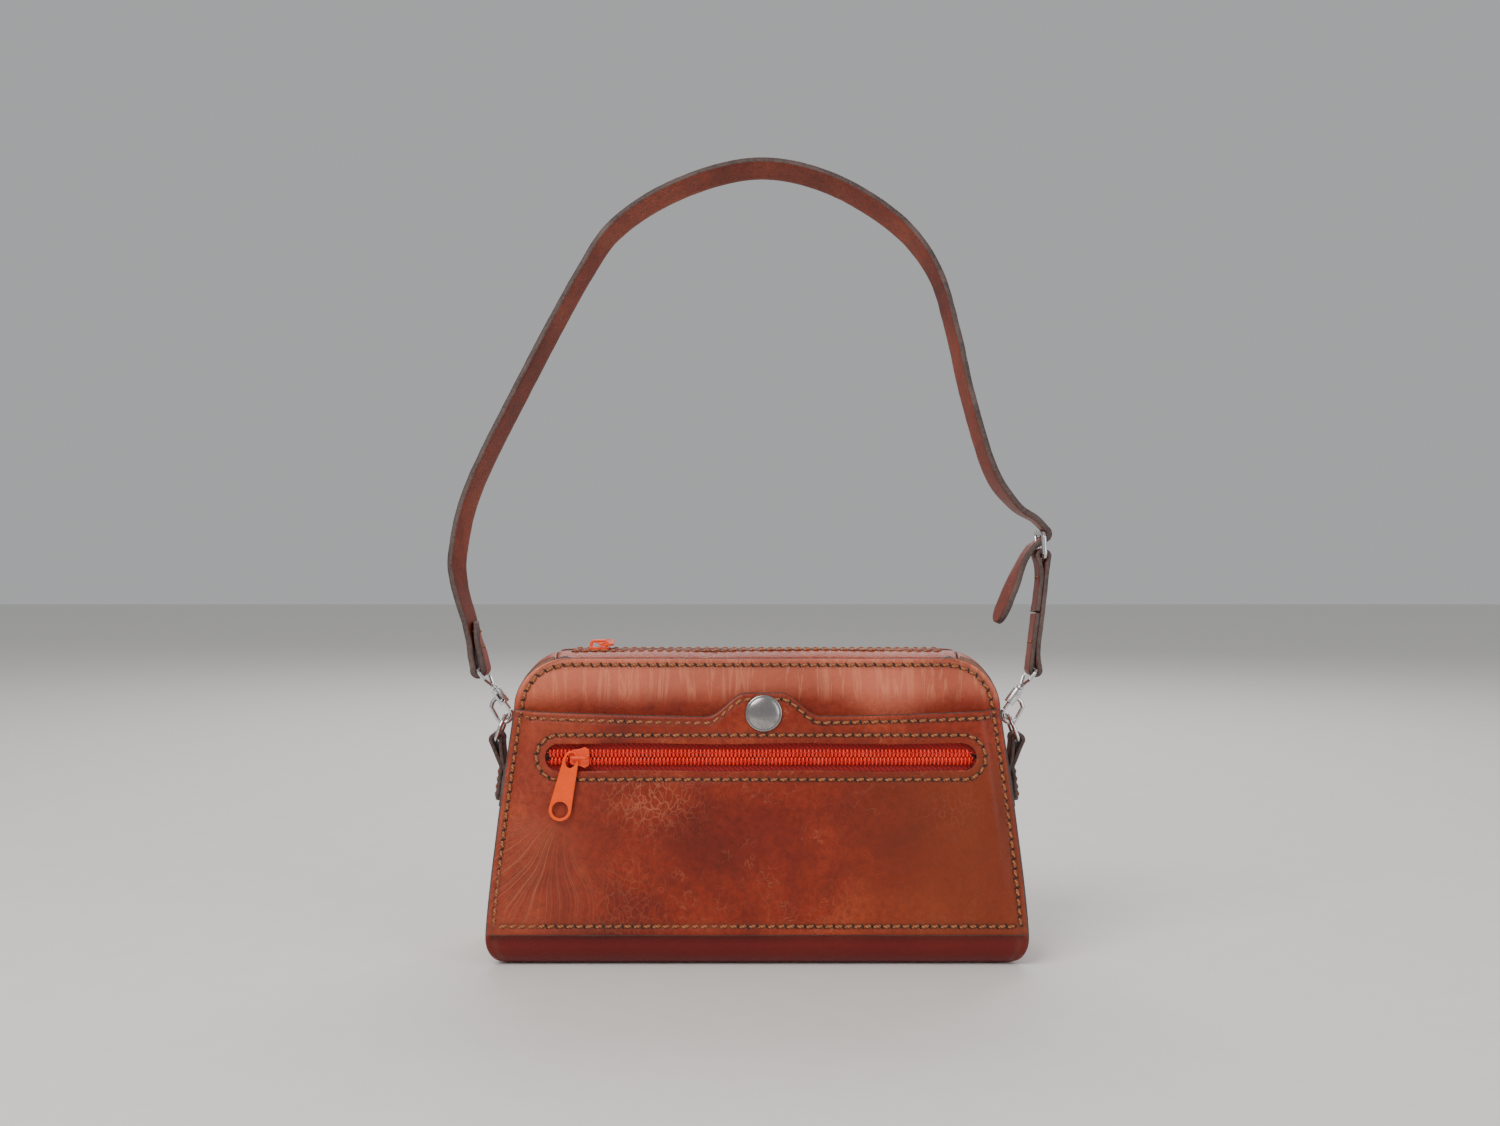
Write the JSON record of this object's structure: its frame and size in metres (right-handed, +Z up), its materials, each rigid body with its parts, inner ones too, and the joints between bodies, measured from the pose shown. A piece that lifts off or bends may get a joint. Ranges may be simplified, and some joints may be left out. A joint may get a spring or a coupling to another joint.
{
  "type": "leather shoulder bag",
  "caption": "Small boxy zip-top leather shoulder bag with a front slip pocket with zip and snap, and a buckled strap on swivel trigger hooks and D rings.",
  "frame": {"origin": "middle of the flat base, on the surface the bag stands on", "axes": "+Z up, +X to the right seen from the front, -Y out of the front pocket"},
  "size_m": [0.2523, 0.0655, 0.3358],
  "materials": {
    "body_leather": "waxed pull-up grain",
    "tab_leather": "dark waxed",
    "strap_leather": "waxed, raw dark edges",
    "board": "stiff fibre board",
    "lining": "plain cotton",
    "zip_tape": "woven tape",
    "zip_coil": "nylon coil",
    "slider_enamel": "coral enamel",
    "pull_enamel": "orange enamel",
    "nickel": "polished nickel plate",
    "dull_nickel": "dull nickel plate"
  },
  "bodies": {
    "bag": {"body_wrap": "body_leather", "pocket_panel": "body_leather", "gusset_left": "body_leather", "gusset_right": "body_leather", "top_strip_front": "body_leather", "top_strip_back": "body_leather", "base_board": "board", "zip_pouch": "lining", "snap_cap": "nickel", "snap_socket": "dull_nickel", "snap_stud": "dull_nickel", "snap_washer": "dull_nickel", "front_tape_upper": "zip_tape", "front_tape_lower": "zip_tape", "front_coil_upper": "zip_coil", "front_coil_lower": "zip_coil", "top_tape_front": "zip_tape", "top_tape_back": "zip_tape", "top_coil_front": "zip_coil", "top_coil_back": "zip_coil", "ring_tab_left": "tab_leather", "ring_tab_right": "tab_leather"},
    "front_slider": {"front_slider": "slider_enamel"},
    "front_pull": {"front_pull": "pull_enamel"},
    "top_slider": {"top_slider": "slider_enamel"},
    "top_pull": {"top_pull": "pull_enamel"},
    "ring_left": {"ring_left": "nickel"},
    "ring_right": {"ring_right": "nickel"},
    "strap": {"strap_long": "strap_leather", "strap_short": "strap_leather", "buckle_frame": "nickel", "swivel_eye_left": "nickel", "swivel_eye_right": "nickel"},
    "prong": {"buckle_prong": "nickel"},
    "hook_left": {"hook_body_left": "nickel"},
    "hook_right": {"hook_body_right": "nickel"},
    "trigger_left": {"trigger_bolt_left": "nickel"},
    "trigger_right": {"trigger_bolt_right": "nickel"}
  },
  "joints": [
    {"name": "front_zip_slide", "type": "slide", "parent": "bag", "child": "front_slider", "axis": [1, 0, 0], "range_m": [-0.008, 0.148]},
    {"name": "front_pull_swing", "type": "hinge", "parent": "front_slider", "child": "front_pull", "pos_m": [-0.0742, -0.0297, 0.08447], "axis": [0, -0.9954, 0.0953], "range_deg": [-30, 45]},
    {"name": "top_zip_slide", "type": "slide", "parent": "bag", "child": "top_slider", "axis": [1, 0, 0], "range_m": [-0.004, 0.132]},
    {"name": "top_pull_swing", "type": "hinge", "parent": "top_slider", "child": "top_pull", "pos_m": [-0.0628, 0, 0.1275], "axis": [0, 0, 1], "range_deg": [-40, 40]},
    {"name": "ring_left_swing", "type": "hinge", "parent": "bag", "child": "ring_left", "pos_m": [-0.1085, 0, 0.0882], "axis": [0, 1, 0], "range_deg": [-4, 2]},
    {"name": "ring_right_swing", "type": "hinge", "parent": "bag", "child": "ring_right", "pos_m": [0.1085, 0, 0.0882], "axis": [0, 1, 0], "range_deg": [-2, 4]},
    {"name": "strap_swing", "type": "hinge", "parent": "bag", "child": "strap", "pos_m": [0, 0, 0.09233], "axis": [1, 0, 0], "range_deg": [-60, 60]},
    {"name": "hook_left_swivel", "type": "hinge", "parent": "strap", "child": "hook_left", "pos_m": [-0.10944, 0, 0.10869], "axis": [0.5878, 0, -0.809], "range_deg": [-6, 6]},
    {"name": "hook_right_swivel", "type": "hinge", "parent": "strap", "child": "hook_right", "pos_m": [0.10944, 0, 0.10869], "axis": [-0.5878, 0, -0.809], "range_deg": [-6, 6]},
    {"name": "trigger_left_slide", "type": "slide", "parent": "hook_left", "child": "trigger_left", "axis": [-0.5878, 0, 0.809], "range_m": [0, 0.0021], "stiffness_N_per_m": 150, "springref_m": -0.001},
    {"name": "trigger_right_slide", "type": "slide", "parent": "hook_right", "child": "trigger_right", "axis": [0.5878, 0, 0.809], "range_m": [0, 0.0021], "stiffness_N_per_m": 150, "springref_m": -0.001},
    {"name": "prong_swing", "type": "hinge", "parent": "strap", "child": "prong", "pos_m": [0.1195, 0.0039, 0.1644], "axis": [0, -1, 0], "range_deg": [0, 8]}
  ]
}
